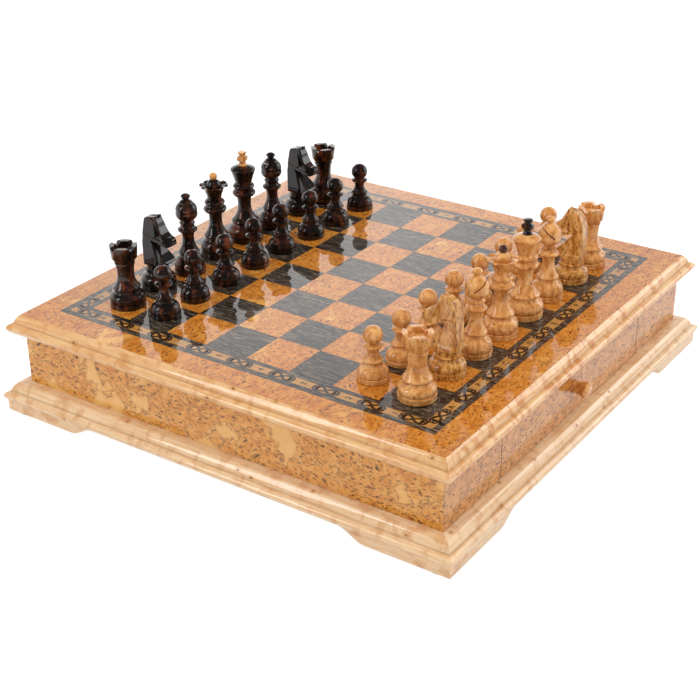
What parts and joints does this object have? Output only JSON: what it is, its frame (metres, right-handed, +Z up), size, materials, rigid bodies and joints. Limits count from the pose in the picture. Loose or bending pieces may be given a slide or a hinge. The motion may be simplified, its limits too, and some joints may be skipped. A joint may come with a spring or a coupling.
{
  "type": "chess set with drawer case",
  "caption": "Veneered chess board on a moulded case with two knobbed drawers and bracket feet, with a full set of turned and carved men.",
  "frame": {"origin": "on the table, under the middle of the board", "axes": "+Z up, -Y towards the light player and the front drawer, +X towards file h"},
  "size_m": [0.4552, 0.4552, 0.18],
  "materials": {
    "plywood_core": "birch plywood, sanded",
    "stained_veneer": "grey-brown stained veneer under high gloss lacquer",
    "burl_veneer": "flecked burl birch veneer under high gloss lacquer",
    "inlaid_strip": "light veneer strip with a dark scroll ornament, high gloss lacquer",
    "pale_birch": "solid pale curly birch, lacquered",
    "pad_rubber": "dark round glides",
    "drawer_birch": "solid birch, satin",
    "green_felt": "felt lining",
    "turned_knob": "turned birch, lacquered",
    "light_turned_wood": "turned honey coloured burl birch, gloss lacquer",
    "dark_turned_wood": "turned birch stained near black with reddish brown mottling, gloss lacquer"
  },
  "bodies": {
    "case": {"board_panel": "plywood_core", "bottom_panel": "plywood_core", "drawer_dividers": "plywood_core", "dark_squares": "stained_veneer", "dark_bands": "stained_veneer", "light_squares": "burl_veneer", "burl_border": "burl_veneer", "side_walls": "burl_veneer", "end_cheeks": "burl_veneer", "ornament_strip": "inlaid_strip", "top_moulding": "pale_birch", "plinth_moulding": "pale_birch", "feet": "pale_birch", "foot_pads": "pad_rubber"},
    "front_drawer": {"front_drawer_face": "burl_veneer", "front_drawer_box": "drawer_birch", "front_drawer_bottom": "plywood_core", "front_drawer_felt": "green_felt", "front_drawer_knob": "turned_knob"},
    "back_drawer": {"back_drawer_face": "burl_veneer", "back_drawer_box": "drawer_birch", "back_drawer_bottom": "plywood_core", "back_drawer_felt": "green_felt", "back_drawer_knob": "turned_knob"},
    "light_rook_a1": {"light_rook_a1": "light_turned_wood"},
    "light_knight_b1": {"light_knight_b1": "light_turned_wood"},
    "light_bishop_c1": {"light_bishop_c1": "light_turned_wood"},
    "light_queen_d1": {"light_queen_d1": "light_turned_wood", "light_queen_d1_ball": "dark_turned_wood"},
    "light_king_e1": {"light_king_e1": "light_turned_wood", "light_king_e1_finial": "dark_turned_wood"},
    "light_bishop_f1": {"light_bishop_f1": "light_turned_wood"},
    "light_knight_g1": {"light_knight_g1": "light_turned_wood"},
    "light_rook_h1": {"light_rook_h1": "light_turned_wood"},
    "light_pawn_a2": {"light_pawn_a2": "light_turned_wood"},
    "light_pawn_b2": {"light_pawn_b2": "light_turned_wood"},
    "light_pawn_c2": {"light_pawn_c2": "light_turned_wood"},
    "light_pawn_d2": {"light_pawn_d2": "light_turned_wood"},
    "light_pawn_e2": {"light_pawn_e2": "light_turned_wood"},
    "light_pawn_f2": {"light_pawn_f2": "light_turned_wood"},
    "light_pawn_g2": {"light_pawn_g2": "light_turned_wood"},
    "light_pawn_h2": {"light_pawn_h2": "light_turned_wood"},
    "dark_pawn_a7": {"dark_pawn_a7": "dark_turned_wood"},
    "dark_pawn_b7": {"dark_pawn_b7": "dark_turned_wood"},
    "dark_pawn_c7": {"dark_pawn_c7": "dark_turned_wood"},
    "dark_pawn_d7": {"dark_pawn_d7": "dark_turned_wood"},
    "dark_pawn_e7": {"dark_pawn_e7": "dark_turned_wood"},
    "dark_pawn_f7": {"dark_pawn_f7": "dark_turned_wood"},
    "dark_pawn_g7": {"dark_pawn_g7": "dark_turned_wood"},
    "dark_pawn_h7": {"dark_pawn_h7": "dark_turned_wood"},
    "dark_rook_a8": {"dark_rook_a8": "dark_turned_wood"},
    "dark_knight_b8": {"dark_knight_b8": "dark_turned_wood"},
    "dark_bishop_c8": {"dark_bishop_c8": "dark_turned_wood"},
    "dark_queen_d8": {"dark_queen_d8": "dark_turned_wood", "dark_queen_d8_ball": "light_turned_wood"},
    "dark_king_e8": {"dark_king_e8": "dark_turned_wood", "dark_king_e8_finial": "light_turned_wood"},
    "dark_bishop_f8": {"dark_bishop_f8": "dark_turned_wood"},
    "dark_knight_g8": {"dark_knight_g8": "dark_turned_wood"},
    "dark_rook_h8": {"dark_rook_h8": "dark_turned_wood"}
  },
  "joints": [
    {"name": "front_drawer_slide", "type": "slide", "parent": "case", "child": "front_drawer", "axis": [0, -1, 0], "range_m": [0, 0.15]},
    {"name": "back_drawer_slide", "type": "slide", "parent": "case", "child": "back_drawer", "axis": [0, 1, 0], "range_m": [0, 0.15]},
    {"name": "lift_light_rook_a1", "type": "slide", "parent": "case", "child": "light_rook_a1", "axis": [0, 0, 1], "range_m": [0, 0.1]},
    {"name": "lift_light_knight_b1", "type": "slide", "parent": "case", "child": "light_knight_b1", "axis": [0, 0, 1], "range_m": [0, 0.1]},
    {"name": "lift_light_bishop_c1", "type": "slide", "parent": "case", "child": "light_bishop_c1", "axis": [0, 0, 1], "range_m": [0, 0.1]},
    {"name": "lift_light_queen_d1", "type": "slide", "parent": "case", "child": "light_queen_d1", "axis": [0, 0, 1], "range_m": [0, 0.1]},
    {"name": "lift_light_king_e1", "type": "slide", "parent": "case", "child": "light_king_e1", "axis": [0, 0, 1], "range_m": [0, 0.1]},
    {"name": "lift_light_bishop_f1", "type": "slide", "parent": "case", "child": "light_bishop_f1", "axis": [0, 0, 1], "range_m": [0, 0.1]},
    {"name": "lift_light_knight_g1", "type": "slide", "parent": "case", "child": "light_knight_g1", "axis": [0, 0, 1], "range_m": [0, 0.1]},
    {"name": "lift_light_rook_h1", "type": "slide", "parent": "case", "child": "light_rook_h1", "axis": [0, 0, 1], "range_m": [0, 0.1]},
    {"name": "lift_light_pawn_a2", "type": "slide", "parent": "case", "child": "light_pawn_a2", "axis": [0, 0, 1], "range_m": [0, 0.1]},
    {"name": "lift_light_pawn_b2", "type": "slide", "parent": "case", "child": "light_pawn_b2", "axis": [0, 0, 1], "range_m": [0, 0.1]},
    {"name": "lift_light_pawn_c2", "type": "slide", "parent": "case", "child": "light_pawn_c2", "axis": [0, 0, 1], "range_m": [0, 0.1]},
    {"name": "lift_light_pawn_d2", "type": "slide", "parent": "case", "child": "light_pawn_d2", "axis": [0, 0, 1], "range_m": [0, 0.1]},
    {"name": "lift_light_pawn_e2", "type": "slide", "parent": "case", "child": "light_pawn_e2", "axis": [0, 0, 1], "range_m": [0, 0.1]},
    {"name": "lift_light_pawn_f2", "type": "slide", "parent": "case", "child": "light_pawn_f2", "axis": [0, 0, 1], "range_m": [0, 0.1]},
    {"name": "lift_light_pawn_g2", "type": "slide", "parent": "case", "child": "light_pawn_g2", "axis": [0, 0, 1], "range_m": [0, 0.1]},
    {"name": "lift_light_pawn_h2", "type": "slide", "parent": "case", "child": "light_pawn_h2", "axis": [0, 0, 1], "range_m": [0, 0.1]},
    {"name": "lift_dark_pawn_a7", "type": "slide", "parent": "case", "child": "dark_pawn_a7", "axis": [0, 0, 1], "range_m": [0, 0.1]},
    {"name": "lift_dark_pawn_b7", "type": "slide", "parent": "case", "child": "dark_pawn_b7", "axis": [0, 0, 1], "range_m": [0, 0.1]},
    {"name": "lift_dark_pawn_c7", "type": "slide", "parent": "case", "child": "dark_pawn_c7", "axis": [0, 0, 1], "range_m": [0, 0.1]},
    {"name": "lift_dark_pawn_d7", "type": "slide", "parent": "case", "child": "dark_pawn_d7", "axis": [0, 0, 1], "range_m": [0, 0.1]},
    {"name": "lift_dark_pawn_e7", "type": "slide", "parent": "case", "child": "dark_pawn_e7", "axis": [0, 0, 1], "range_m": [0, 0.1]},
    {"name": "lift_dark_pawn_f7", "type": "slide", "parent": "case", "child": "dark_pawn_f7", "axis": [0, 0, 1], "range_m": [0, 0.1]},
    {"name": "lift_dark_pawn_g7", "type": "slide", "parent": "case", "child": "dark_pawn_g7", "axis": [0, 0, 1], "range_m": [0, 0.1]},
    {"name": "lift_dark_pawn_h7", "type": "slide", "parent": "case", "child": "dark_pawn_h7", "axis": [0, 0, 1], "range_m": [0, 0.1]},
    {"name": "lift_dark_rook_a8", "type": "slide", "parent": "case", "child": "dark_rook_a8", "axis": [0, 0, 1], "range_m": [0, 0.1]},
    {"name": "lift_dark_knight_b8", "type": "slide", "parent": "case", "child": "dark_knight_b8", "axis": [0, 0, 1], "range_m": [0, 0.1]},
    {"name": "lift_dark_bishop_c8", "type": "slide", "parent": "case", "child": "dark_bishop_c8", "axis": [0, 0, 1], "range_m": [0, 0.1]},
    {"name": "lift_dark_queen_d8", "type": "slide", "parent": "case", "child": "dark_queen_d8", "axis": [0, 0, 1], "range_m": [0, 0.1]},
    {"name": "lift_dark_king_e8", "type": "slide", "parent": "case", "child": "dark_king_e8", "axis": [0, 0, 1], "range_m": [0, 0.1]},
    {"name": "lift_dark_bishop_f8", "type": "slide", "parent": "case", "child": "dark_bishop_f8", "axis": [0, 0, 1], "range_m": [0, 0.1]},
    {"name": "lift_dark_knight_g8", "type": "slide", "parent": "case", "child": "dark_knight_g8", "axis": [0, 0, 1], "range_m": [0, 0.1]},
    {"name": "lift_dark_rook_h8", "type": "slide", "parent": "case", "child": "dark_rook_h8", "axis": [0, 0, 1], "range_m": [0, 0.1]}
  ]
}
